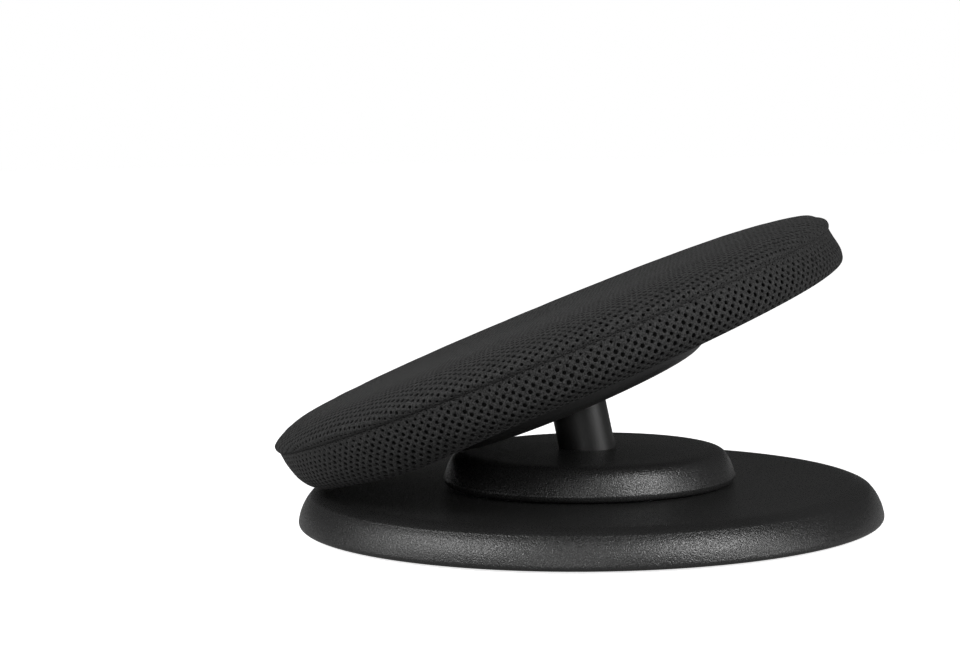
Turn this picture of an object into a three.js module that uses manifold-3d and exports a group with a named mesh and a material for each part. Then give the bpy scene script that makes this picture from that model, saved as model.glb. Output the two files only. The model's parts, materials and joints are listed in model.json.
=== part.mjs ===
// Wobble cushion: a round padded seat on a short post that pivots at both ends between two turntable bosses,
// over a large round base. Millimetres, +Z up, origin at the centre of the base's underside.
// It stands tipped towards -X, with both pivots against their stops.
import * as THREE from "three";
import { mergeVertices } from "three/addons/utils/BufferGeometryUtils.js";
import Module from "manifold-3d";

// Driving dimensions
const GAP = 0.3; // between pieces that touch
const BASE_R = 165;
const BASE_TOP = 21; // height of the base's flat top
const BASE_FLAT_R = 146;
const BASE_WALL = 3.5;
const RIM_LOW = 4; // height of the widest part of the base
const MAT_T = 3;
const MAT_R = 156;
const PLATE_T = 3;
const BOSS_R = 82.8;
const BOSS_FLAT_R = 60;
const BOSS_H = 17.6; // edge of the boss's flat, above the face that the boss turns on
const BOSS_CROWN = 1;
const BOSS_WALL = 2.5;
const BOSS_WIDEST = 6; // height of the widest part of a boss
const RACE_R = 62;
const RACE_IN = 37; // hole in each race, give or take 1 mm for the fixed and the turning one
const RACE_T = 2;
const BALL_PITCH_R = 54;
const BALL_R = 1.5;
const BALLS = 8;
const GROOVE_HALF = 2.2;
const GROOVE_DEPTH = 0.85;
const CAGE_HALF = 3.2;
const CAGE_T = 0.9;
const PIVOT_H = 16; // pivot above the face that its boss turns on
const PIVOT_SPACING = 32;
const LEAN = THREE.MathUtils.degToRad(11.1); // of the post, half the tilt of the seat
const POST_R = 15.8;
const POST_WALL = 2.5;
const PIN_R = 3;
const SEAT_R = 166;
const SEAT_TOP = 33; // edge of the seat's flat top, above the face that the upper bearing is screwed to
const SEAT_DROP = 3.3; // how far the padded edge hangs below that face
const SEAT_CROWN = 1;
const SEAM_H = 21;
const SHOULDER_R = 146; // where the cover's top turns down
const TUCK_R = 156; // where its side turns under
const SWELL_R = 126; // where the padded edge reaches its full drop
const COVER_T = 2.6;
const BOARD_T = 9;
const BOARD_R = 153.5;
const HEM_R = 96; // inner edge of the seat cover, under the board

// Worked out from them
const SCREW_R = 43; // circle of the screws in each turntable bearing
const BASE_SCREW_R = 118;
const RACE_Z = GAP; // bearing stack, heights above the face that a boss turns on
const GAP_Z = RACE_Z + RACE_T;
const BALL_Z = GAP_Z + 1;
const TURN_Z = GAP_Z + 2;
const FORK_Z = TURN_Z + RACE_T + GAP;
const FORK_T = 2;
const BUMPER_Z = FORK_Z + FORK_T + GAP;
const BUMPER_T = 1.8;
const SLEEVE_END = 2; // how far the sleeve runs past each pivot
const EAR_IN = 5; // fork ears, from the pin's middle outwards
const EAR_OUT = 8;
const EAR_R = 5.5;
const EYE_R = 7;
const EYE_HALF = EAR_IN - GAP;
const TAPPED_R = 1.95; // holes that a screw bites into, with clearance for its plain shank
const CLEAR_R = 1.85;
const FAR = 20; // past the end of whatever a drill goes through
const SEAT_SEGMENTS = 48;

const wasm = await Module();
wasm.setup();

const COLOURS = {
  grained_plastic: { color: 0x17181a, roughness: 0.5, metalness: 0 },
  black_steel: { color: 0x141517, roughness: 0.3, metalness: 0.6 },
  zinc_steel: { color: 0xa8abb0, roughness: 0.35, metalness: 1 },
  bronze: { color: 0x9a6b3a, roughness: 0.4, metalness: 1 },
  rubber: { color: 0x101011, roughness: 0.9, metalness: 0 },
  plywood: { color: 0xb98f5d, roughness: 0.7, metalness: 0 },
  foam: { color: 0x6e6f72, roughness: 0.95, metalness: 0 },
  mesh_fabric: { color: 0x131314, roughness: 0.9, metalness: 0 },
  piping: { color: 0x101011, roughness: 0.85, metalness: 0 },
};

// Solids are joined and cut as manifolds, and turned into geometries once, when a piece is named.
function solid(geometry) {
  const bare = geometry.index ? geometry.toNonIndexed() : geometry.clone();
  bare.deleteAttribute("normal");
  bare.deleteAttribute("uv");
  const merged = mergeVertices(bare, 1e-4);
  return new wasm.Manifold(
    new wasm.Mesh({
      numProp: 3,
      vertProperties: new Float32Array(merged.attributes.position.array),
      triVerts: new Uint32Array(merged.index.array),
    }),
  );
}

function piece(name, material, body) {
  const mesh = body.getMesh();
  const geometry = new THREE.BufferGeometry();
  geometry.setAttribute("position", new THREE.BufferAttribute(mesh.vertProperties, 3));
  geometry.setIndex(new THREE.BufferAttribute(mesh.triVerts, 1));
  geometry.computeVertexNormals();
  const made = new THREE.Mesh(geometry, new THREE.MeshStandardMaterial(COLOURS[material]));
  made.name = name;
  return made;
}

// A turned solid about +Z. Its outline of [radius, height] points ends on the axis, or where it began.
function turned(profile, segments) {
  const points = profile.map(([r, z]) => new THREE.Vector2(r, z));
  const lathe = new THREE.LatheGeometry(points, segments);
  lathe.rotateX(Math.PI / 2);
  const body = solid(lathe);
  return body.volume() > 0 ? body : solid(flipped(lathe));
}

function flipped(geometry) {
  const index = geometry.index.array;
  for (let i = 0; i < index.length; i += 3) {
    [index[i + 1], index[i + 2]] = [index[i + 2], index[i + 1]];
  }
  return geometry;
}

function ring(inner, outer, low, high, segments) {
  return turned([[inner, low], [outer, low], [outer, high], [inner, high], [inner, low]], segments);
}

function disc(radius, low, high, segments) {
  return turned([[0, low], [radius, low], [radius, high], [0, high]], segments);
}

// A quarter of an ellipse from a level edge (r0, z0) round to an upright one (r1, z1).
function quarter(r0, z0, r1, z1, steps) {
  const points = [];
  for (let i = 0; i <= steps; i += 1) {
    const a = (i / steps) * (Math.PI / 2);
    points.push([r0 + (r1 - r0) * Math.sin(a), z1 + (z0 - z1) * Math.cos(a)]);
  }
  return points;
}

function onCircle(count, radius, phase = 0) {
  return Array.from({ length: count }, (_, i) => {
    const a = ((i + phase) / count) * 2 * Math.PI;
    return [radius * Math.cos(a), radius * Math.sin(a), a];
  });
}

function cutEach(body, places, cutter) {
  return places.reduce((left, [x, y]) => left.subtract(cutter.translate([x, y, 0])), body);
}

function addEach(body, places, lump) {
  return places.reduce((sum, [x, y]) => sum.add(lump.translate([x, y, 0])), body);
}

// A pan-head screw along +Z, its head at the low end.
function screw(headLow, headHigh, tip, headR, shankR) {
  return turned([[0, headLow], [headR, headLow], [headR, headHigh], [shankR, headHigh],
    [shankR, tip], [0, tip]], 8);
}

// Base
function makeBase(group) {
  const screws = onCircle(6, BASE_SCREW_R, 0.5);
  const raceScrews = onCircle(4, SCREW_R, 0.5);
  const lip = 1;
  const inside = BASE_TOP - BASE_WALL;
  const plateTop = MAT_T + GAP + PLATE_T;
  const floor = plateTop + GAP; // where ribs and posts meet the plate

  const outer = quarter(BASE_FLAT_R, BASE_TOP, BASE_R, RIM_LOW, 6);
  const inner = quarter(BASE_FLAT_R - 2, inside, BASE_R - 3.2, RIM_LOW + 0.5, 3).reverse();
  let shell = turned([[0, BASE_TOP], ...outer, [BASE_R - 1.2, 2.2], [BASE_R - 4, lip],
    [BASE_R - 7, lip], ...inner, [0, inside]], 48);
  const rib = solid(new THREE.BoxGeometry(116, 2.4, inside + 0.5 - floor))
    .translate([90, 0, (inside + 0.5 + floor) / 2]);
  for (let i = 0; i < 8; i += 1) shell = shell.add(rib.rotate([0, 0, (i + 0.5) * 45]));
  shell = shell.add(ring(29, 32.4, floor, inside + 0.5, 32));
  shell = addEach(shell, screws, disc(5, floor, inside + 0.5, 12));
  shell = addEach(shell, raceScrews, disc(4.5, floor + 2, inside + 0.5, 12));
  shell = cutEach(shell, screws, disc(2.1, floor - 1, inside - 1, 8));
  shell = cutEach(shell, raceScrews, disc(TAPPED_R, floor - 1, BASE_TOP + 1, 8));
  group.add(piece("base_shell", "grained_plastic", shell));

  const plate = cutEach(disc(MAT_R, MAT_T + GAP, plateTop, 40), screws, disc(2.4, 0, FAR, 8));
  group.add(piece("base_plate", "zinc_steel", plate));
  const mat = cutEach(disc(MAT_R, 0, MAT_T, 40), screws, disc(5, -1, FAR, 8));
  group.add(piece("anti_slip_mat", "rubber", mat));
  screws.forEach(([x, y], i) => {
    const made = screw(MAT_T - 1.7, MAT_T, inside - 3, 3.8, 1.75);
    group.add(piece(`base_screw_${i + 1}`, "zinc_steel", made.translate([x, y, 0])));
  });
}

function ballGroove(face) {
  return ring(BALL_PITCH_R - GROOVE_HALF, BALL_PITCH_R + GROOVE_HALF, face - GROOVE_DEPTH,
    face + GROOVE_DEPTH, 24);
}

// One turntable bearing: the race fixed to the base or to the seat board, and its screws
function makeFixedRace(group, side) {
  const places = onCircle(4, SCREW_R, 0.5);
  let race = ring(RACE_IN - 1, RACE_R, RACE_Z, GAP_Z, 24).subtract(ballGroove(GAP_Z));
  race = cutEach(race, places, disc(2, -1, FAR, 8));
  race = cutEach(race, places, disc(3.7, GAP_Z - 1.4, FAR, 8));
  group.add(piece(`${side}_fixed_race`, "zinc_steel", race));
  places.forEach(([x, y], i) => {
    const made = screw(-GAP_Z + 0.1, -GAP_Z + 1.1, 7.5, 3.2, 1.55).rotate([180, 0, 0]);
    group.add(piece(`${side}_race_screw_${i + 1}`, "zinc_steel", made.translate([x, y, 0])));
  });
}

function makeCage(group, side) {
  let cage = ring(BALL_PITCH_R - CAGE_HALF, BALL_PITCH_R + CAGE_HALF, BALL_Z - CAGE_T / 2,
    BALL_Z + CAGE_T / 2, 24);
  const ball = solid(new THREE.SphereGeometry(BALL_R, 6, 3)).translate([0, 0, BALL_Z]);
  cage = addEach(cage, onCircle(BALLS, BALL_PITCH_R), ball);
  group.add(piece(`${side}_ball_cage`, "zinc_steel", cage));
}

// The turning half of one end: race, fork, stop ring, boss cover, screws, pivot pin and clip
function makeHub(group, side) {
  const places = onCircle(4, SCREW_R);
  let race = ring(RACE_IN + 1, RACE_R, TURN_Z, TURN_Z + RACE_T, 24).subtract(ballGroove(TURN_Z));
  race = cutEach(race, places, disc(CLEAR_R, 0, FAR, 8));
  group.add(piece(`${side}_turning_race`, "zinc_steel", race));

  const ear = new THREE.Shape();
  ear.moveTo(-EAR_R - 1.5, FORK_Z + 1);
  ear.lineTo(EAR_R + 1.5, FORK_Z + 1);
  ear.lineTo(EAR_R, PIVOT_H);
  ear.absarc(0, PIVOT_H, EAR_R, 0, Math.PI, false);
  const earBody = solid(
    new THREE.ExtrudeGeometry(ear, { depth: EAR_OUT - EAR_IN, bevelEnabled: false, curveSegments: 8 }),
  ).rotate([90, 0, 0]);
  const pinHole = disc(PIN_R + GAP, -FAR, FAR, 16).rotate([90, 0, 0]).translate([0, 0, PIVOT_H]);
  let fork = disc(SCREW_R + 5, FORK_Z, FORK_Z + FORK_T, 28);
  fork = fork.add(earBody.translate([0, EAR_OUT, 0])).add(earBody.translate([0, -EAR_IN, 0]));
  fork = cutEach(fork, places, disc(CLEAR_R, 0, FAR, 8)).subtract(pinHole);
  group.add(piece(`${side}_fork`, "black_steel", fork));

  const stop = ring(11.4, 18.5, BUMPER_Z, BUMPER_Z + BUMPER_T, 24);
  group.add(piece(`${side}_stop_ring`, "rubber", stop));

  const hole = POST_R + 1.1;
  const top = BOSS_H + BOSS_CROWN;
  const outer = quarter(BOSS_FLAT_R, BOSS_H, BOSS_R, BOSS_WIDEST, 5);
  const inner = quarter(BOSS_FLAT_R - 1, BOSS_H - BOSS_WALL, BOSS_R - BOSS_WALL, BOSS_WIDEST, 3).reverse();
  let cover = turned([[hole, top - BOSS_WALL], [hole, top], [38, top - 0.35 * BOSS_CROWN], ...outer,
    [BOSS_R - 1.6, 0.7], [BOSS_R - 4, 0.7], ...inner, [hole, top - BOSS_WALL]], 40);
  cover = addEach(cover, places, disc(4, FORK_Z + FORK_T + GAP, BOSS_H - 1, 12));
  cover = cutEach(cover, places, disc(CLEAR_R, 0, BOSS_H - 2.4, 8));
  group.add(piece(`${side}_boss_cover`, "grained_plastic", cover));
  places.forEach(([x, y], i) => {
    const made = screw(TURN_Z - GAP - 1.3, TURN_Z - GAP, BOSS_H - 3.2, 3, 1.5);
    group.add(piece(`${side}_cover_screw_${i + 1}`, "zinc_steel", made.translate([x, y, 0])));
  });

  const pin = turned([[0, -9.6], [4.2, -9.6], [4.2, -EAR_OUT - GAP], [PIN_R, -EAR_OUT - GAP],
    [PIN_R, 10], [PIN_R - 0.6, 10.6], [0, 10.6]], 16);
  const onPivot = (body) => body.rotate([90, 0, 0]).translate([0, 0, PIVOT_H]);
  group.add(piece(`${side}_pivot_pin`, "zinc_steel", onPivot(pin)));
  const clip = ring(PIN_R + GAP, 5, EAR_OUT + GAP, EAR_OUT + GAP + 0.9, 16);
  group.add(piece(`${side}_pin_clip`, "black_steel", onPivot(clip)));
}

// Post: a core with an eye at each end, a bush in each eye, and the sleeve that shows
function makePost(group) {
  const half = PIVOT_SPACING / 2;
  const eye = disc(EYE_R, -EYE_HALF, EYE_HALF, 16).rotate([90, 0, 0]);
  const neck = solid(new THREE.BoxGeometry(2 * EYE_R - 2, 2 * EYE_HALF, 2 * half));
  let core = disc(POST_R - POST_WALL - GAP, -half + EAR_R + 1, half - EAR_R - 1, 24).add(neck);
  for (const end of [-half, half]) core = core.add(eye.translate([0, 0, end]));
  const bushHole = disc(4.95, -FAR, FAR, 16).rotate([90, 0, 0]);
  for (const end of [-half, half]) core = core.subtract(bushHole.translate([0, 0, end]));
  group.add(piece("post_core", "zinc_steel", core));

  const reach = half + SLEEVE_END;
  group.add(piece("post_sleeve", "black_steel", turned([[POST_R - POST_WALL, -reach],
    [POST_R - 0.6, -reach], [POST_R, -reach + 0.6], [POST_R, reach - 0.6], [POST_R - 0.6, reach],
    [POST_R - POST_WALL, reach], [POST_R - POST_WALL, -reach]], 32)));
  for (const [name, end] of [["lower_bush", -half], ["upper_bush", half]]) {
    const bush = ring(PIN_R + GAP, 4.6, -EYE_HALF, EYE_HALF, 16).rotate([90, 0, 0]);
    group.add(piece(name, "bronze", bush.translate([0, 0, end])));
  }
}

// Seat: board, foam, and a cover of two mesh panels sewn together at a rolled seam high on the side
function makeSeat(group) {
  const raceScrews = onCircle(4, SCREW_R, 0.5);
  const skin = COVER_T + GAP;
  const boardTop = skin + BOARD_T;
  const bevel = 2;
  const stepR = HEM_R - 3; // inside this the board comes down through the cover's hem
  const crown = (z) => [[0, z + SEAT_CROWN], [80, z + 0.6 * SEAT_CROWN]];
  let board = turned([[0, 0], [stepR, 0], [stepR, skin], [BOARD_R - bevel, skin],
    [BOARD_R, skin + bevel], [BOARD_R, boardTop - bevel], [BOARD_R - bevel, boardTop],
    [0, boardTop]], SEAT_SEGMENTS);
  board = cutEach(board, raceScrews, disc(TAPPED_R, -1, 8, 8));
  group.add(piece("seat_board", "plywood", board));

  // The foam laps round the board's edge and a little way in under it.
  const lapR = HEM_R + 12;
  const drop = (r) => (-SEAT_DROP * (r - HEM_R)) / (SWELL_R - HEM_R);
  const foamLow = quarter(TUCK_R - skin, skin - SEAT_DROP, SEAT_R - skin, SEAM_H, 3);
  const foamTop = quarter(SHOULDER_R - skin, SEAT_TOP - skin, SEAT_R - skin, SEAM_H, 3).reverse();
  const foam = turned([[0, boardTop + GAP], [BOARD_R + GAP, boardTop + GAP],
    [BOARD_R + GAP, COVER_T], [lapR, COVER_T], [lapR, skin + drop(lapR)],
    [SWELL_R, skin - SEAT_DROP], ...foamLow, ...foamTop.slice(1),
    ...crown(SEAT_TOP - skin).reverse()], SEAT_SEGMENTS);
  group.add(piece("foam_pad", "foam", foam));

  const split = 0.5 * GAP; // half of the slot between the two panels
  const inR = SEAT_R - COVER_T;
  const topOut = quarter(SHOULDER_R, SEAT_TOP, SEAT_R, SEAM_H + split, 5);
  const topIn = quarter(SHOULDER_R - COVER_T, SEAT_TOP - COVER_T, inR, SEAM_H + split, 3).reverse();
  const coverTop = turned([...crown(SEAT_TOP), ...topOut, ...topIn,
    ...crown(SEAT_TOP - COVER_T).reverse()], SEAT_SEGMENTS);
  group.add(piece("cover_top_panel", "mesh_fabric", coverTop));

  const sideOut = quarter(TUCK_R, -SEAT_DROP, SEAT_R, SEAM_H - split, 5);
  const sideIn = quarter(TUCK_R - COVER_T, COVER_T - SEAT_DROP, inR, SEAM_H - split, 3).reverse();
  const coverSide = turned([[HEM_R, 0], [SWELL_R, -SEAT_DROP], ...sideOut, ...sideIn,
    [SWELL_R, COVER_T - SEAT_DROP], [HEM_R, COVER_T], [HEM_R, 0]], SEAT_SEGMENTS);
  group.add(piece("cover_side_panel", "mesh_fabric", coverSide));

  const roll = ring(SEAT_R + GAP, SEAT_R + 1.8, SEAM_H - 2, SEAM_H + 2, SEAT_SEGMENTS);
  group.add(piece("cover_piping", "piping", roll));
  const hemCord = ring(stepR + GAP, HEM_R - GAP, GAP, COVER_T, SEAT_SEGMENTS);
  group.add(piece("cover_hem_cord", "rubber", hemCord));
}

// Assembly: lower boss on the base, leaning post, and the upper boss and seat tipped twice as far
const group = new THREE.Group();
makeBase(group);

const onBase = new THREE.Group();
onBase.position.z = BASE_TOP;
makeFixedRace(onBase, "lower");
makeCage(onBase, "lower");
makeHub(onBase, "lower");
group.add(onBase);

const post = new THREE.Group();
post.position.set(
  (-PIVOT_SPACING / 2) * Math.sin(LEAN),
  0,
  BASE_TOP + PIVOT_H + (PIVOT_SPACING / 2) * Math.cos(LEAN),
);
post.rotation.y = -LEAN;
makePost(post);
group.add(post);

const seat = new THREE.Group();
seat.position.set(
  -PIVOT_SPACING * Math.sin(LEAN) - PIVOT_H * Math.sin(2 * LEAN),
  0,
  BASE_TOP + PIVOT_H + PIVOT_SPACING * Math.cos(LEAN) + PIVOT_H * Math.cos(2 * LEAN),
);
seat.rotation.y = -2 * LEAN;
makeSeat(seat);
const underSeat = new THREE.Group();
underSeat.rotation.y = Math.PI;
makeFixedRace(underSeat, "upper");
makeCage(underSeat, "upper");
makeHub(underSeat, "upper");
seat.add(underSeat);
group.add(seat);

export default group;
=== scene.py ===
"""Looks of the wobble cushion: camera, light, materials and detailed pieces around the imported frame.

Sizes come from the frame. Lengths in the profiles below are millimetres in the frame of the part that they
belong to, and MM turns them into metres.
"""

import json
import math

import bmesh
import bpy
import numpy as np
from mathutils import Matrix, Vector


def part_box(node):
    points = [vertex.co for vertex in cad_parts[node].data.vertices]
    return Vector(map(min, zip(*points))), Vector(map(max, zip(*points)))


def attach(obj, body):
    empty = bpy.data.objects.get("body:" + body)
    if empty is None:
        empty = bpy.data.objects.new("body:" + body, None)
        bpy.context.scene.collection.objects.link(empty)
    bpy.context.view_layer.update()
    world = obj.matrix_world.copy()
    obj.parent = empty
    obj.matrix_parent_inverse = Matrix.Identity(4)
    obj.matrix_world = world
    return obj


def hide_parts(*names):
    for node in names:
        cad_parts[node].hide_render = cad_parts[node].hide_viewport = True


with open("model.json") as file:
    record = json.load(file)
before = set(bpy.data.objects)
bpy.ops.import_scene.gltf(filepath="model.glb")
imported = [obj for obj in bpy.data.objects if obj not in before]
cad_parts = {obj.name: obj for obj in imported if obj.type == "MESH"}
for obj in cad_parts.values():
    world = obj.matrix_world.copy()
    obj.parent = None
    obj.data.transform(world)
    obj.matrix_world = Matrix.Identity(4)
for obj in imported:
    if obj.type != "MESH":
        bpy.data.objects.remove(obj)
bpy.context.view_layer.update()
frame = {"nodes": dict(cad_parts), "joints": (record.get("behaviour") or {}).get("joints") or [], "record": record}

MM = 0.001
JOINTS = {j["name"]: j for j in frame["joints"]}


# ---------------------------------------------------------------- places and sizes, from the frame

def half_width(node):
    """Half of a round node's width along Y, in millimetres. Every node is level along Y at rest."""
    low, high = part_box(node)
    return (high.y - low.y) / 2 / MM


def frame_at(origin, up):
    """The local frame at a point whose Z is up and whose Y stays level."""
    z = Vector(up).normalized()
    y = Vector((0, 1, 0))
    x = y.cross(z).normalized()
    turn = Matrix((x, y, z)).transposed().to_4x4()
    return Matrix.Translation(Vector(origin)) @ turn


BASE_TOP = JOINTS["base_swivel"]["pos_m"][2] / MM
BASE_R = half_width("base_shell")
BOSS_R = half_width("lower_boss_cover")
POST_R = half_width("post_sleeve")
SEAT_R = half_width("cover_side_panel")
LOWER_PIVOT = Vector(JOINTS["lower_tilt"]["pos_m"])
UPPER_PIVOT = Vector(JOINTS["upper_tilt"]["pos_m"])
SEAT_UP = Vector(JOINTS["seat_swivel"]["axis"])
POST_UP = (UPPER_PIVOT - LOWER_PIVOT).normalized()

BASE = Matrix.Identity(4)
LOWER = frame_at(JOINTS["base_swivel"]["pos_m"], (0, 0, 1))
POST = frame_at((LOWER_PIVOT + UPPER_PIVOT) / 2, POST_UP)
SEAT = frame_at(JOINTS["seat_swivel"]["pos_m"], SEAT_UP)
UPPER = SEAT @ Matrix.Rotation(math.pi, 4, "Y")


# ---------------------------------------------------------------- camera, stage and light

# The camera, fitted to the outlines in the photograph. Angles are in degrees, azimuth to the right of -Y.
CAMERA_AZIMUTH, CAMERA_ELEVATION, CAMERA_DISTANCE = 2.8, 8.8, 1.2205
CAMERA_YAW, CAMERA_PITCH, CAMERA_ROLL = 2.86, 4.081, 1.08
CAMERA_LENS_MM, SENSOR_WIDTH_MM = 80.2, 36


def make_camera():
    """Looks along +Y from a little above the base, with the part right of and below the middle."""
    azimuth = Matrix.Rotation(math.radians(CAMERA_AZIMUTH), 4, "Z")
    elevation = math.radians(CAMERA_ELEVATION)
    yaw, pitch, roll = (math.radians(a) for a in (CAMERA_YAW, CAMERA_PITCH, CAMERA_ROLL))
    aim = Vector((0, 0, BASE_TOP * MM))
    back = Vector((0, -math.cos(elevation), math.sin(elevation)))
    side = Vector((1, 0, 0))
    over = back.cross(side)
    forward = -back * math.cos(yaw) * math.cos(pitch) - side * math.sin(yaw) + over * math.sin(pitch)
    forward.normalize()
    right = forward.cross(Vector((0, 0, 1))).normalized()
    up = right.cross(forward)
    right, up = (
        right * math.cos(roll) - up * math.sin(roll),
        right * math.sin(roll) + up * math.cos(roll),
    )
    data = bpy.data.cameras.new("camera")
    data.sensor_width = SENSOR_WIDTH_MM
    data.lens = CAMERA_LENS_MM
    data.clip_start, data.clip_end = 0.05, 50
    camera = bpy.data.objects.new("camera", data)
    bpy.context.scene.collection.objects.link(camera)
    camera.matrix_world = azimuth @ Matrix.Translation(aim + back * CAMERA_DISTANCE) @ Matrix(
        (right, up, -forward)
    ).transposed().to_4x4()
    bpy.context.scene.camera = camera


LIGHT_DISTANCE = 1.5
LIGHT_AIM = Vector((0, 0, 0.06))

# Soft boxes: name, degrees to the right of the camera, degrees above level, width and height in m, watts.
SOFT_BOXES = [
    ("box_left", -44, 32, (0.45, 0.5), 9),
    ("box_far_left", -74, 32, (0.6, 0.6), 7),
    ("box_right", 47, 32, (0.55, 0.55), 14.8),
    ("box_front", 8, 32, (0.6, 0.6), 2.6),
    ("low_left", -76, 8, (0.9, 0.4), 3),
    ("low_front", -12, 8, (0.6, 0.4), 3),
    ("low_right", 66, 8, (0.7, 0.4), 5),
]


def make_light(name, azimuth, elevation, size, power):
    """One soft box, which faces the part."""
    side, rise = math.radians(azimuth + CAMERA_AZIMUTH), math.radians(elevation)
    towards = Vector((math.sin(side) * math.cos(rise), -math.cos(side) * math.cos(rise), math.sin(rise)))
    data = bpy.data.lights.new(name, "AREA")
    data.shape = "RECTANGLE"
    data.size, data.size_y = size
    data.energy = power
    lamp = bpy.data.objects.new(name, data)
    bpy.context.scene.collection.objects.link(lamp)
    lamp.location = LIGHT_AIM + towards * LIGHT_DISTANCE
    lamp.rotation_euler = (-towards).to_track_quat("-Z", "Y").to_euler()


FLOOR_BOUNCE, ROOM_BOUNCE = 0.34, 0.06  # light from below and from the room, as shares of white
FLOOR_HALF = 60.0


def make_world():
    """White to the eye. The light it gives stands for what a white floor and a dim room send back."""
    world = bpy.data.worlds.new("studio")
    world.use_nodes = True
    nodes, links = world.node_tree.nodes, world.node_tree.links
    nodes.clear()
    out = nodes.new("ShaderNodeOutputWorld")
    seen = nodes.new("ShaderNodeBackground")
    lit = nodes.new("ShaderNodeBackground")
    seen.inputs["Color"].default_value = (1, 1, 1, 1)
    seen.inputs["Strength"].default_value = 1.0
    place = nodes.new("ShaderNodeTexCoord")
    height = nodes.new("ShaderNodeSeparateXYZ")
    links.new(place.outputs["Generated"], height.inputs["Vector"])
    bounce = ramp(nodes, links, height.outputs["Z"], [(0.0, FLOOR_BOUNCE), (0.03, ROOM_BOUNCE)])
    links.new(bounce, lit.inputs["Color"])
    lit.inputs["Strength"].default_value = 1.0
    path = nodes.new("ShaderNodeLightPath")
    mix = nodes.new("ShaderNodeMixShader")
    links.new(path.outputs["Is Camera Ray"], mix.inputs["Fac"])
    links.new(lit.outputs["Background"], mix.inputs[1])
    links.new(seen.outputs["Background"], mix.inputs[2])
    links.new(mix.outputs["Shader"], out.inputs["Surface"])
    bpy.context.scene.world = world


def make_stage():
    """The world, a white floor that gives no bounce of its own, and the soft boxes."""
    bpy.context.scene.view_settings.view_transform = "Standard"
    make_world()
    corners = [(-1, -1, 0), (1, -1, 0), (1, 1, 0), (-1, 1, 0)]
    white, place = floor_material(), Matrix.Identity(4)
    floor = mesh_object("floor", corners, [(0, 1, 2, 3)], white, place, unit=FLOOR_HALF)
    floor.visible_diffuse = False
    floor.visible_glossy = False
    for box in SOFT_BOXES:
        make_light(*box)


# ---------------------------------------------------------------- mesh helpers

def mesh_object(name, verts, faces, material, place, unit=MM, sharp=None):
    """A smooth-shaded mesh object whose vertices are given in a local frame, with its object at the origin.
    Edges are sharp where faces meet at more than sharp degrees."""
    local = np.asarray(verts, float) * unit
    turn = np.array(place.to_3x3())
    world = local @ turn.T + np.array(place.translation)
    mesh = bpy.data.meshes.new(name)
    mesh.from_pydata([tuple(v) for v in world], [], [tuple(f) for f in faces])
    mesh.update()
    mesh.shade_smooth()
    if sharp is not None:
        mesh.set_sharp_from_angle(angle=math.radians(sharp))
    mesh.materials.append(material)
    made = bpy.data.objects.new(name, mesh)
    bpy.context.scene.collection.objects.link(made)
    return made


def through(points, per_span):
    """A smooth line through points (Catmull-Rom), with per_span steps between two of them."""
    p = np.asarray(points, float)
    ends = np.vstack([2 * p[0] - p[1], p, 2 * p[-1] - p[-2]])
    t = np.linspace(0, 1, per_span, endpoint=False)[:, None]
    spans = []
    for a, b, c, d in zip(ends[:-3], ends[1:-2], ends[2:-1], ends[3:]):
        spans.append(
            b + 0.5 * t * (c - a + t * (2 * a - 5 * b + 4 * c - d + t * (3 * (b - c) + d - a)))
        )
    return np.vstack([*spans, p[-1:]])


def quarter(r0, z0, r1, z1, steps):
    """A quarter of an ellipse from a level edge at (r0, z0) round to an upright one at (r1, z1)."""
    a = np.linspace(0, math.pi / 2, steps + 1)
    return np.stack([r0 + (r1 - r0) * np.sin(a), z1 + (z0 - z1) * np.cos(a)], 1)


def turned(name, outline, material, place, segments, sharp):
    """A solid turned about local Z from an outline of (radius, height).
    The outline ends on the axis or where it began."""
    outline = np.asarray(outline, float)
    closed = np.allclose(outline[0], outline[-1])
    if closed:
        outline = outline[:-1]
    a = np.arange(segments) * 2 * math.pi / segments
    verts, rings = [], []
    for r, z in outline:
        if r < 1e-6:
            rings.append([len(verts)])
            verts.append((0, 0, z))
        else:
            rings.append(list(range(len(verts), len(verts) + segments)))
            verts.extend(zip(r * np.cos(a), r * np.sin(a), np.full(segments, z)))
    faces = []
    pairs = list(zip(rings, rings[1:]))
    if closed:
        pairs.append((rings[-1], rings[0]))
    for low, high in pairs:
        for i in range(segments):
            j = (i + 1) % segments
            if len(low) == 1:
                faces.append((low[0], high[j], high[i]))
            elif len(high) == 1:
                faces.append((low[i], low[j], high[0]))
            else:
                faces.append((low[i], low[j], high[j], high[i]))
    made = mesh_object(name, verts, faces, material, place, sharp=sharp)
    face_outwards(made)
    return made


def face_outwards(made):
    """Turns every face of a closed mesh outwards."""
    work = bmesh.new()
    work.from_mesh(made.data)
    bmesh.ops.recalc_face_normals(work, faces=work.faces)
    work.to_mesh(made.data)
    work.free()


# ---------------------------------------------------------------- materials

def new_material(name):
    """A node material, its nodes and links, and its shader."""
    made = bpy.data.materials.new(name)
    made.use_nodes = True
    return made, made.node_tree.nodes, made.node_tree.links, made.node_tree.nodes["Principled BSDF"]


def noise(nodes, links, scale, detail=4.0, roughness=0.5):
    """A noise texture in the object's own metres."""
    place = nodes.new("ShaderNodeTexCoord")
    made = nodes.new("ShaderNodeTexNoise")
    made.inputs["Scale"].default_value = scale
    made.inputs["Detail"].default_value = detail
    made.inputs["Roughness"].default_value = roughness
    links.new(place.outputs["Object"], made.inputs["Vector"])
    return made


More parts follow.
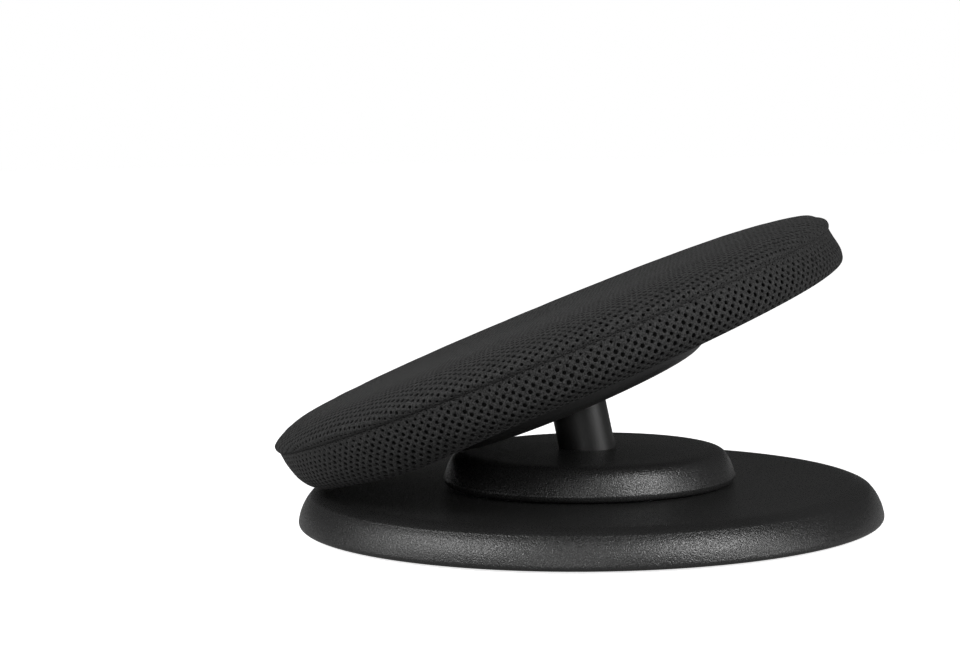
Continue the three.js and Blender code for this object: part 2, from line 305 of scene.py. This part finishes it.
def ramp(nodes, links, source, stops):
    """A colour ramp of (position, colour or grey) stops on a source socket."""
    made = nodes.new("ShaderNodeValToRGB")
    while len(made.color_ramp.elements) < len(stops):
        made.color_ramp.elements.new(0.5)
    for element, (at, value) in zip(made.color_ramp.elements, stops):
        element.position = at
        shade = value if isinstance(value, tuple) else (value,) * 3
        element.color = (*shade, 1)
    links.new(source, made.inputs["Fac"])
    return made.outputs["Color"]


def bump(nodes, links, height, distance, strength, onto=None):
    """The normal of a bump on a height socket, over another bump's normal if onto gives one."""
    made = nodes.new("ShaderNodeBump")
    made.inputs["Strength"].default_value = strength
    made.inputs["Distance"].default_value = distance
    links.new(height, made.inputs["Height"])
    if onto is not None:
        links.new(onto, made.inputs["Normal"])
    return made.outputs["Normal"]


def floor_material():
    """White paper that glows fully from 2 m out, and less near the part, where it takes a soft shadow."""
    made, nodes, links, shader = new_material("floor_white")
    shade = noise(nodes, links, 0.7)
    tones = ramp(nodes, links, shade.outputs["Fac"], [(0.0, 0.93), (1.0, 0.96)])
    links.new(tones, shader.inputs["Base Color"])
    shader.inputs["Roughness"].default_value = 0.9
    shader.inputs["Specular IOR Level"].default_value = 0.1
    shader.inputs["Emission Color"].default_value = (1, 1, 1, 1)
    place = nodes.new("ShaderNodeTexCoord")
    shrink = nodes.new("ShaderNodeMapping")
    shrink.inputs["Scale"].default_value = (0.5, 0.5, 0.5)
    fade = nodes.new("ShaderNodeTexGradient")
    fade.gradient_type = "SPHERICAL"
    links.new(place.outputs["Object"], shrink.inputs["Vector"])
    links.new(shrink.outputs["Vector"], fade.inputs["Vector"])
    glow = ramp(nodes, links, fade.outputs["Fac"], [(0.0, 1.0), (0.65, 0.8)])
    links.new(glow, shader.inputs["Emission Strength"])
    return made


def plastic_material(name, low, high, rough, grain, grain_mm):
    """Black moulded plastic: a fine spark-eroded grain, a slow drift of tone, and uneven roughness."""
    made, nodes, links, shader = new_material(name)
    drift = noise(nodes, links, 14, detail=3)
    tones = ramp(nodes, links, drift.outputs["Fac"], [(0.3, low), (0.7, high)])
    links.new(tones, shader.inputs["Base Color"])
    fine = noise(nodes, links, 1 / (grain_mm * MM), detail=1, roughness=0.5)
    coarse = noise(nodes, links, 0.5 / (grain_mm * MM), detail=1)
    links.new(
        ramp(nodes, links, fine.outputs["Fac"], [(0.36, rough - 0.12), (0.64, rough + 0.12)]),
        shader.inputs["Roughness"],
    )
    first = bump(nodes, links, coarse.outputs["Fac"], 0.3 * MM, 0.5 * grain)
    links.new(bump(nodes, links, fine.outputs["Fac"], 0.3 * MM, grain, onto=first), shader.inputs["Normal"])
    return made


def paint_material(name, shade, rough):
    """Satin powder coat on steel: a faint orange peel."""
    made, nodes, links, shader = new_material(name)
    tone = noise(nodes, links, 40, detail=3)
    links.new(
        ramp(nodes, links, tone.outputs["Fac"], [(0.3, shade * 0.85), (0.7, shade * 1.15)]),
        shader.inputs["Base Color"],
    )
    peel = noise(nodes, links, 900, detail=2)
    links.new(
        ramp(nodes, links, peel.outputs["Fac"], [(0.2, rough - 0.03), (0.8, rough + 0.03)]),
        shader.inputs["Roughness"],
    )
    links.new(bump(nodes, links, peel.outputs["Fac"], 0.02 * MM, 0.3), shader.inputs["Normal"])
    return made


def metal_material(name, colour, rough):
    """Plated or sintered metal with fine directionless scratches."""
    made, nodes, links, shader = new_material(name)
    tone = noise(nodes, links, 120, detail=4)
    dull = tuple(0.8 * c for c in colour)
    tones = ramp(nodes, links, tone.outputs["Fac"], [(0.35, dull), (0.65, colour)])
    links.new(tones, shader.inputs["Base Color"])
    scuff = noise(nodes, links, 2500, detail=2)
    links.new(
        ramp(nodes, links, scuff.outputs["Fac"], [(0.3, rough - 0.08), (0.7, rough + 0.08)]),
        shader.inputs["Roughness"],
    )
    shader.inputs["Metallic"].default_value = 1.0
    links.new(bump(nodes, links, scuff.outputs["Fac"], 0.01 * MM, 0.4), shader.inputs["Normal"])
    return made


def rubber_material():
    """Dull black rubber with a fine surface."""
    made, nodes, links, shader = new_material("rubber_black")
    tone = noise(nodes, links, 60, detail=4)
    tones = ramp(nodes, links, tone.outputs["Fac"], [(0.3, 0.010), (0.7, 0.018)])
    links.new(tones, shader.inputs["Base Color"])
    fine = noise(nodes, links, 1800, detail=3)
    dullness = ramp(nodes, links, fine.outputs["Fac"], [(0.3, 0.78), (0.7, 0.92)])
    links.new(dullness, shader.inputs["Roughness"])
    links.new(bump(nodes, links, fine.outputs["Fac"], 0.08 * MM, 0.5), shader.inputs["Normal"])
    return made


def board_material():
    """Black-stained plywood with the grain just showing."""
    made, nodes, links, shader = new_material("stained_plywood")
    place = nodes.new("ShaderNodeTexCoord")
    stretch = nodes.new("ShaderNodeMapping")
    stretch.inputs["Scale"].default_value = (4, 60, 60)
    grain = nodes.new("ShaderNodeTexNoise")
    grain.inputs["Scale"].default_value = 8
    grain.inputs["Detail"].default_value = 6
    links.new(place.outputs["Object"], stretch.inputs["Vector"])
    links.new(stretch.outputs["Vector"], grain.inputs["Vector"])
    tones = [(0.3, (0.012, 0.010, 0.009)), (0.7, (0.035, 0.028, 0.022))]
    links.new(ramp(nodes, links, grain.outputs["Fac"], tones), shader.inputs["Base Color"])
    shader.inputs["Roughness"].default_value = 0.6
    links.new(bump(nodes, links, grain.outputs["Fac"], 0.15 * MM, 0.5), shader.inputs["Normal"])
    return made


def fabric_material(name, low, high, sheen):
    """Knitted polyester: fibres a fraction of a millimetre apart, uneven in tone, with a soft sheen."""
    made, nodes, links, shader = new_material(name)
    fibres = noise(nodes, links, 1150, detail=3, roughness=0.7)
    tones = ramp(nodes, links, fibres.outputs["Fac"], [(0.38, low), (0.64, high)])
    links.new(tones, shader.inputs["Base Color"])
    shader.inputs["Roughness"].default_value = 0.8
    shader.inputs["Specular IOR Level"].default_value = 0.25
    shader.inputs["Sheen Weight"].default_value = sheen
    shader.inputs["Sheen Roughness"].default_value = 0.4
    tufts = noise(nodes, links, 700, detail=2)
    first = bump(nodes, links, tufts.outputs["Fac"], 0.25 * MM, 0.5)
    links.new(bump(nodes, links, fibres.outputs["Fac"], 0.15 * MM, 1.0, onto=first), shader.inputs["Normal"])
    return made


# ---------------------------------------------------------------- base, bosses and post

def make_base(grained):
    """The moulded base: a flat top, a full round rim that turns under, and a lip round the mat."""
    shoulder = [(-19, 0), (-15, -0.25), (-11, -1.05), (-8.2, -2.1), (-6.9, -2.9)]
    flank = [(-6.7, -3.15), (-4.6, -5.7), (-2.7, -8.9), (-1.2, -12.4), (-0.35, -15.4), (0, -17.6),
             (-0.5, -19.2), (-2.2, -19.9), (-4.2, -20)]
    inside = [(-7, -20), (-7, -15), (-30, -7), (-BASE_R, -7)]
    flat = [(-BASE_R, 0), (-120, 0), (-70, 0), (-35, 0)]
    outline = np.array([*flat, *through(shoulder, 6), *through(flank, 6), *inside]) + (BASE_R, BASE_TOP)
    base = turned("base_moulding", outline, grained, BASE, segments=256, sharp=50)
    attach(base, "base")
    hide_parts("base_shell")


# Rims of the two bosses, from the flat out to the widest place: (radius less the boss's radius, height).
LOWER_RIM = [(-24, 19.1), (-15, 19.0), (-10, 18.5), (-7, 17.4), (-4.8, 15.2), (-3.0, 11.9), (-1.5, 8.2),
             (-0.5, 5.2)]
UPPER_RIM = [(-24, 17.3), (-20, 17.2), (-15, 16.9), (-10, 16.0), (-5, 13.9), (-2.7, 12.1), (-0.7, 9.1),
             (0, 6)]


def make_boss(name, node, body, place, rim, grained):
    """A boss: a low disc with a rounded rim, open round the post."""
    hole, edge = POST_R + 1.1, rim[0][1]
    rim = np.array(rim) + (BOSS_R, 0)
    outline = np.vstack([
        through([[hole, edge - 1.6], [hole, edge + 0.2], [hole + 0.5, edge + 0.6], [38, edge + 0.45]], 5),
        through(rim, 6),
        through([[BOSS_R, 4.2], [BOSS_R - 0.5, 2.4], [BOSS_R - 1.4, 1.1], [BOSS_R - 2.6, 0.7]], 4),
        [[BOSS_R - 4, 0.7], [BOSS_R - 4, 6.0], [BOSS_R - 24, edge - 2.5], [hole, edge - 1.6]],
    ])
    boss = turned(name, outline, grained, place, segments=192, sharp=50)
    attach(boss, body)
    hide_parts(node)


def make_post(satin):
    """The tube round the post's core, with a small round on both ends."""
    half = (UPPER_PIVOT - LOWER_PIVOT).length / 2 / MM + 2
    wall, bevel = 2.5, 0.6
    edge = quarter(POST_R - bevel, half, POST_R, half - bevel, 6)
    outline = np.vstack([
        edge, (edge * (1, -1))[::-1], [[POST_R - wall, -half], [POST_R - wall, half]], edge[:1],
    ])
    post = turned("post_tube", outline, satin, POST, segments=128, sharp=60)
    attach(post, "post")
    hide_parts("post_sleeve")


def make_mat(rubber):
    """The anti-slip mat, with rings of grooves in the face that it stands on."""
    radius, thick, groove = BASE_R - 9, 3.0, 0.5
    outline = [[0, thick], [radius - 0.4, thick], [radius, thick - 0.4], [radius, 0.4], [radius - 0.4, 0]]
    for r in np.arange(radius - 6, 8, -6):
        outline += [[r, 0], [r - 0.4, groove], [r - 1.8, groove], [r - 2.2, 0]]
    outline.append([0, 0])
    mat = turned("grip_mat", outline, rubber, BASE, segments=128, sharp=20)
    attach(mat, "base")
    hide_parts("anti_slip_mat")


# ---------------------------------------------------------------- the cushion

# Outlines of the cover in the seat's frame: from the centre out to the seam, and from the seam to the hem.
# The cushion is thicker at the lowered side (-X), where the cover is also drawn in more underneath.
TOP_RAISED = [(0, 33.1), (60, 33.2), (100, 33.0), (124, 32.6), (140, 31.7), (149, 30.7), (155, 29.7),
              (159.4, 28.7), (162.0, 27.4), (163.4, 25.9), (164.4, 25.2), (166.0, 24.6), (167.3, 22.9),
              (167.5, 20.8), (167.0, 19.4), (166.4, 18.6)]
TOP_LOWERED = [(0, 33.1), (60, 33.7), (100, 34.8), (124, 35.6), (140, 35.8), (149.5, 35.1), (157, 33.2),
               (161.6, 31.2), (164.2, 29.9), (166.0, 28.8), (167.3, 27.0), (167.1, 25.2), (166.3, 23.8),
               (165.7, 23.1)]
SIDE_RAISED = [(166.4, 18.5), (166.5, 16.4), (167.4, 11.4), (168.2, 7.0), (168.1, 3.2), (166.8, -0.6),
               (162.5, -2.6), (156, -3.3), (128, -3.1), (97, 0.2)]
SIDE_LOWERED = [(165.7, 22.9), (165.4, 20.8), (165.0, 16.8), (164.0, 12.6), (162.4, 7.4), (160.2, 3.2),
                (157.4, -0.4), (153.5, -2.6), (148, -3.3), (97, 0.2)]
ROUND_STEPS = 200


def even(points, count, crowd):
    """count points on the smooth line through points, the length of the line, and each point's share of it.
    Their spacing shrinks towards the end that crowd names."""
    line = through(points, 10)
    along = np.concatenate([[0], np.cumsum(np.linalg.norm(np.diff(line, axis=0), axis=1))])
    t = np.linspace(0, 1, count)
    at = 0.35 * t + 0.65 * (1 - (1 - t) ** 2)
    if crowd == "start":
        at = (1 - at)[::-1]
    return np.stack([np.interp(at * along[-1], along, line[:, k]) for k in range(2)], 1), along[-1], at


class Surface:
    """A surface round the seat's axis, on a grid of angle and distance along its outline, in millimetres."""

    def __init__(self, raised, lowered, count, crowd):
        first, length_raised, self.at = even(raised, count, crowd)
        second, length_lowered, _ = even(lowered, count, crowd)
        self.length = 0.5 * (length_raised + length_lowered)
        self.angles = np.arange(ROUND_STEPS) * 2 * math.pi / ROUND_STEPS
        share = (0.5 + 0.5 * np.cos(self.angles))[:, None, None]
        outline = share * first + (1 - share) * second
        turn = np.stack([np.cos(self.angles), np.sin(self.angles)], 1)
        self.points = np.empty((ROUND_STEPS, count, 3))
        self.points[..., 0] = outline[..., 0] * turn[:, :1]
        self.points[..., 1] = outline[..., 0] * turn[:, 1:]
        self.points[..., 2] = outline[..., 1]

    def sample(self, angle, distance):
        """Points at angles (radians) and distances (mm) along the outline, and the outward normals there."""
        steps, count = self.points.shape[:2]
        u = np.mod(angle / (2 * math.pi) * steps, steps)
        v = np.interp(np.clip(distance / self.length, 0, 1), self.at, np.arange(count))
        i, j = np.floor(u).astype(int), np.minimum(np.floor(v).astype(int), count - 2)
        fu, fv = (u - i)[:, None], (v - j)[:, None]
        i0, i1 = i % steps, (i + 1) % steps

        def blend(grid):
            near = grid[i0, j] * (1 - fv) + grid[i0, j + 1] * fv
            far = grid[i1, j] * (1 - fv) + grid[i1, j + 1] * fv
            return near * (1 - fu) + far * fu

        normals = blend(self.normals())
        return blend(self.points), normals / np.linalg.norm(normals, axis=1)[:, None]

    def normals(self):
        """Outward unit normals on the grid. The rings that meet at the centre give none there, so it points
        straight up, or as the next ring does once the stuffing has moved it."""
        around = np.roll(self.points, -1, 0) - np.roll(self.points, 1, 0)
        along = np.gradient(self.points, axis=1)
        n = np.cross(along, around)
        size = np.linalg.norm(n, axis=2, keepdims=True)
        n = np.where(size > 1e-9, n / np.maximum(size, 1e-9), [0, 0, 1])
        n[:, 0] = (0, 0, 1) if self.at[1] > 0 and abs(self.points[0, 0, 0]) < 1e-6 else n[:, 1]
        return n


# How far down the hem sags in millimetres, where round the edge, and how far round on either side. It starts
# below the first height, is whole at the second, and fades out from the outer radius to the inner one.
SAG, SAG_AT, SAG_WIDTH = 3.0, math.radians(121), math.radians(15)
SAG_HEIGHTS, SAG_RADII = (4, -2), (135, 100)


def sag_hem(side):
    """The gathered hem hangs lowest beside the boss, at SAG_AT to either side of the raised end."""
    angle = np.abs(np.mod(side.angles + math.pi, 2 * math.pi) - math.pi)
    beside = np.exp(-(((angle - SAG_AT) / SAG_WIDTH) ** 2))
    radius = np.hypot(side.points[..., 0], side.points[..., 1])
    (start, whole), (outer, inner) = SAG_HEIGHTS, SAG_RADII
    low = smoothstep((start - side.points[..., 2]) / (start - whole))
    low *= smoothstep((radius - inner) / (outer - inner))
    side.points[..., 2] -= SAG * beside[:, None] * low


def grid_faces(steps, count):
    """Quads of a grid that closes on itself round the first index."""
    i, j = np.meshgrid(np.arange(steps), np.arange(count - 1), indexing="ij")
    k = (i + 1) % steps
    return np.stack([i * count + j, i * count + j + 1, k * count + j + 1, k * count + j], 2).reshape(-1, 4)


SWELL_SHARE = 0.2  # the share of the simulated swelling that is kept: the real cover is sewn tighter
SWELL_FRAMES = 20
TUCK_RADIUS = 148  # inside this radius, in millimetres, the underside is held against the board


def held_points(grid, seam):
    """1 where the cover is held, else 0: at the seam, at the hem, and where it is tucked under the board."""
    held = np.zeros(grid.shape[:2])
    held[:, seam - 1:seam + 2] = 1
    under = np.hypot(grid[..., 0], grid[..., 1]) < TUCK_RADIUS
    held[:, seam + 2:][under[:, seam + 2:]] = 1
    held[:, -1] = 1
    return held


def add_stuffing(form, held):
    """Cloth with air pressure behind it and no gravity. Held points don't move."""
    group = form.vertex_groups.new(name="held")
    group.add([int(i) for i in np.flatnonzero(held.reshape(-1))], 1.0, "REPLACE")
    cloth = form.modifiers.new("stuffing", "CLOTH")
    cloth.settings.vertex_group_mass = "held"
    cloth.settings.use_pressure = True
    cloth.settings.uniform_pressure_force = 4
    cloth.settings.effector_weights.gravity = 0
    cloth.settings.quality = 4
    cloth.settings.tension_stiffness = 20
    cloth.settings.bending_stiffness = 2
    cloth.point_cache.frame_start = 1
    cloth.point_cache.frame_end = SWELL_FRAMES


def settled(form):
    """The form's vertices at the end of the simulation, in metres. The form itself is removed."""
    for number in range(1, SWELL_FRAMES + 1):
        bpy.context.scene.frame_set(number)
    mesh = form.evaluated_get(bpy.context.evaluated_depsgraph_get()).to_mesh()
    moved = np.empty(len(mesh.vertices) * 3)
    mesh.vertices.foreach_get("co", moved)
    bpy.data.objects.remove(form)
    bpy.context.scene.frame_set(1)
    return moved.reshape(-1, 3)


def stuffed(top, side, material):
    """Lets the stuffing push the cover out by cloth simulation.
    The very centre, where the rings meet in one point, is left out and follows the ring round it."""
    grid = np.concatenate([top.points[:, 1:], side.points[:, 1:]], 1)
    steps, count = grid.shape[:2]
    seam = top.points.shape[1] - 2
    form = mesh_object("form", grid.reshape(-1, 3), grid_faces(steps, count), material, SEAT)
    add_stuffing(form, held_points(grid, seam))
    turn, origin = np.array(SEAT.to_3x3()), np.array(SEAT.translation)
    moved = ((settled(form) - origin) @ turn / MM).reshape(grid.shape)
    push = SWELL_SHARE * (moved - grid)
    top.points[:, 1:] += push[:, :seam + 1]
    top.points[:, 0] += push[:, 0].mean(0)
    side.points[:, 1:] += push[:, seam + 1:]
    side.points[:, 0] += push[:, seam]
    size = np.linalg.norm(push, axis=2)
    print("stuffing moved the cover by up to %.5f mm, mean %.5f" % (size.max(), size.mean()))


CELL_W, CELL_H = 5.4, 2.7  # hole spacing along a row, and from row to row, in the knitted mesh
HOLE_R = 1.08
THREAD_RISE, HOLE_DROP = 0.2, 0.8
# The border of a cell, in quarter steps of the spacing. Neighbouring cells share it.
BORDER = np.array([(2, 0), (1, 1), (0, 2), (-1, 1), (-2, 0), (-1, -1), (0, -2), (1, -1)])
QUARTERS = (CELL_W / 4, CELL_H / 2)


def smoothstep(x):
    """0 below 0 and 1 above 1, with a smooth rise between."""
    x = np.clip(x, 0, 1)
    return x * x * (3 - 2 * x)


def uneven(flat):
    """The small drift of a knit that was never quite square, in millimetres, from smooth waves."""
    x, y = flat[:, 0], flat[:, 1]
    drift_x = 0.30 * np.sin(x / 9.1 + 0.7 * np.sin(y / 17)) + 0.22 * np.sin(y / 6.3 + x / 23 + 1.0)
    drift_y = 0.18 * np.sin(y / 8.3 + 0.9 * np.sin(x / 21)) + 0.16 * np.sin(x / 5.7 - y / 19 + 2.0)
    return flat + np.stack([drift_x, drift_y], 1)


def perforated(name, centres, wrap, place_on, opening, fabric, foam_and_hole_shade):
    """Knitted mesh: one open cell round each centre, given in quarter steps of the cell. Each cell shares its
    border with its neighbours. wrap is the number of quarter steps round, or None. place_on puts flat points
    in 3-D, and opening gives each hole's size. The walls of the holes take the second, near-black material:
    painted shade down in the holes."""
    keys = centres[:, None, :] + BORDER[None]
    if wrap:
        keys[..., 0] %= wrap
    unique, index = np.unique(keys.reshape(-1, 2), axis=0, return_inverse=True)
    index = index.reshape(-1, 8)
    middle = centres * QUARTERS
    a = np.arange(8) * math.pi / 4
    round_hole = np.stack([np.cos(a), np.sin(a)], 1)[None]
    spread = 1 + 0.10 * np.sin(middle[:, 0] * 1.7 + 3 * np.sin(middle[:, 1] * 0.9))
    hole = round_hole * (HOLE_R * spread * opening)[:, None, None]
    thread = 0.45 * BORDER[None] * QUARTERS + 0.55 * hole * 1.15
    count = len(centres)
    edge = place_on(unique * QUARTERS, THREAD_RISE)
    crest = place_on((middle[:, None, :] + thread).reshape(-1, 2), 0.9 * THREAD_RISE)
    lip = place_on((middle[:, None, :] + hole * 1.08).reshape(-1, 2), 0.25 * THREAD_RISE)
    wall = place_on((middle[:, None, :] + hole).reshape(-1, 2), -HOLE_DROP)
    rings = [index] + [len(edge) + k * count * 8 + np.arange(count * 8).reshape(count, 8) for k in range(3)]
    ahead = np.roll(np.arange(8), -1)
    faces = [
        np.stack([outer, outer[:, ahead], inner[:, ahead], inner], 2).reshape(-1, 4)
        for outer, inner in zip(rings, rings[1:])
    ]
    made = mesh_object(name, np.vstack([edge, crest, lip, wall]), np.vstack(faces), fabric, SEAT)
    made.data.materials.append(foam_and_hole_shade)
    # The walls of the holes, the last ring of faces, take the second material: painted shade in the holes.
    shade = np.repeat([0, 0, 1], [len(f) for f in faces]).astype(np.int32)
    made.data.polygons.foreach_set("material_index", shade)
    return made


def eased(distance, limit, soft=3.0):
    """Distance squeezed so that it never passes the limit: the knit bunches up at a sewn edge."""
    start = limit - soft
    past = np.maximum(distance, start) - start
    return np.where(distance > start, limit - soft * np.exp(-past / soft), distance)


SEAM_PINCH = 8.0  # how far from the seam the holes are drawn smaller, in millimetres


def make_top_panel(surface, fabric, foam_and_hole_shade):
    """The top panel, in straight rows of holes. It reaches past the seam, where its last rows bunch up."""
    reach = surface.length + 7.0
    cols, rows = int(reach / CELL_W) + 2, int(reach / CELL_H) + 2
    i, j = np.meshgrid(np.arange(-cols, cols + 1), np.arange(-rows, rows + 1), indexing="ij")
    centres = np.stack([4 * i + 2 * (j % 2), 2 * j], 2).reshape(-1, 2)
    distance = np.hypot(*(centres * QUARTERS).T)
    centres, distance = centres[distance < reach], distance[distance < reach]
    opening = 0.6 + 0.4 * smoothstep((surface.length - distance) / SEAM_PINCH)

    def place_on(flat, lift):
        flat = uneven(flat)
        distance = np.hypot(flat[:, 0], flat[:, 1])
        angle = np.arctan2(flat[:, 1], flat[:, 0])
        points, normals = surface.sample(angle, eased(distance, surface.length))
        return points + normals * lift

    panel = perforated("top_cover", centres, None, place_on, opening, fabric, foam_and_hole_shade)
    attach(panel, "seat")
    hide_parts("cover_top_panel", "cover_piping")


def make_side_panel(surface, fabric, foam_and_hole_shade):
    """The side panel, in rows of holes that run round the seat and close on themselves."""
    count = round(2 * math.pi * SEAT_R / CELL_W)
    wrap = 4 * count
    rows = int(surface.length / CELL_H)
    j, i = np.meshgrid(np.arange(-2, rows + 1), np.arange(count), indexing="ij")
    centres = np.stack([4 * i + 2 * (j % 2), 2 * j], 2).reshape(-1, 2)
    opening = 0.6 + 0.4 * smoothstep(centres[:, 1] * QUARTERS[1] / SEAM_PINCH)
    turn = 2 * math.pi / (count * CELL_W)

    def place_on(flat, lift):
        drifted = uneven(flat)
        angle = (flat[:, 0] + (drifted - flat)[:, 0] * np.sin(flat[:, 0] * turn / 2) ** 2) * turn
        distance = surface.length - eased(surface.length - drifted[:, 1], surface.length, 2.0)
        points, normals = surface.sample(angle, eased(distance, surface.length))
        return points + normals * lift

    panel = perforated("side_cover", centres, wrap, place_on, opening, fabric, foam_and_hole_shade)
    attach(panel, "seat")
    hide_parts("cover_side_panel")


LINING_DEPTH = 1.8


def make_lining(top, side, foam_and_hole_shade):
    """The inner face of the spacer mesh and the foam under it, seen through the holes. Its near-black is the
    foam's own colour with painted shade at the bottom of the holes.
    """
    upper = top.points - top.normals() * LINING_DEPTH
    lower = side.points - side.normals() * LINING_DEPTH
    grid = np.concatenate([upper, lower], 1)
    steps, count = grid.shape[:2]
    verts, faces = grid.reshape(-1, 3), grid_faces(steps, count)
    lining = mesh_object("foam_lining", verts, faces, foam_and_hole_shade, SEAT)
    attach(lining, "seat")
    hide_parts("foam_pad")


# ---------------------------------------------------------------- everything

make_camera()
make_stage()

grained = plastic_material("grained_plastic", 0.010, 0.014, 0.34, 0.7, grain_mm=0.7)
matte = plastic_material("matte_plastic", 0.028, 0.036, 0.5, 0.3, grain_mm=0.5)
satin = paint_material("satin_black", 0.012, 0.45)
zinc = metal_material("zinc_plate", (0.42, 0.43, 0.45), 0.34)
bronze = metal_material("sintered_bronze", (0.42, 0.24, 0.09), 0.45)
rubber = rubber_material()
board = board_material()
fabric = fabric_material("spacer_mesh", 0.002, 0.034, sheen=0.03)
# Near-black foam, which also paints the shade on the walls of the holes and in the lining seen through them.
foam_and_hole_shade = fabric_material("foam_with_painted_hole_shade", 0.003, 0.006, sheen=0.0)

make_base(grained)
make_boss("lower_boss", "lower_boss_cover", "turntable", LOWER, LOWER_RIM, grained)
make_boss("upper_boss", "upper_boss_cover", "upper_hub", UPPER, UPPER_RIM, matte)
make_post(satin)
make_mat(rubber)
top_surface = Surface(TOP_RAISED, TOP_LOWERED, 60, "end")
side_surface = Surface(SIDE_RAISED, SIDE_LOWERED, 36, "start")
sag_hem(side_surface)
stuffed(top_surface, side_surface, foam_and_hole_shade)
make_top_panel(top_surface, fabric, foam_and_hole_shade)
make_side_panel(side_surface, fabric, foam_and_hole_shade)
make_lining(top_surface, side_surface, foam_and_hole_shade)

BY_SLOT = {
    "zinc_steel": zinc, "black_steel": satin, "bronze": bronze, "rubber": rubber, "plywood": board,
    "grained_plastic": grained, "mesh_fabric": fabric, "foam": foam_and_hole_shade, "piping": fabric,
}
for part in frame["record"]["subparts"]:
    node = frame["nodes"][part["node"]]
    node.data.materials.clear()
    node.data.materials.append(BY_SLOT[part["material_slot"]])
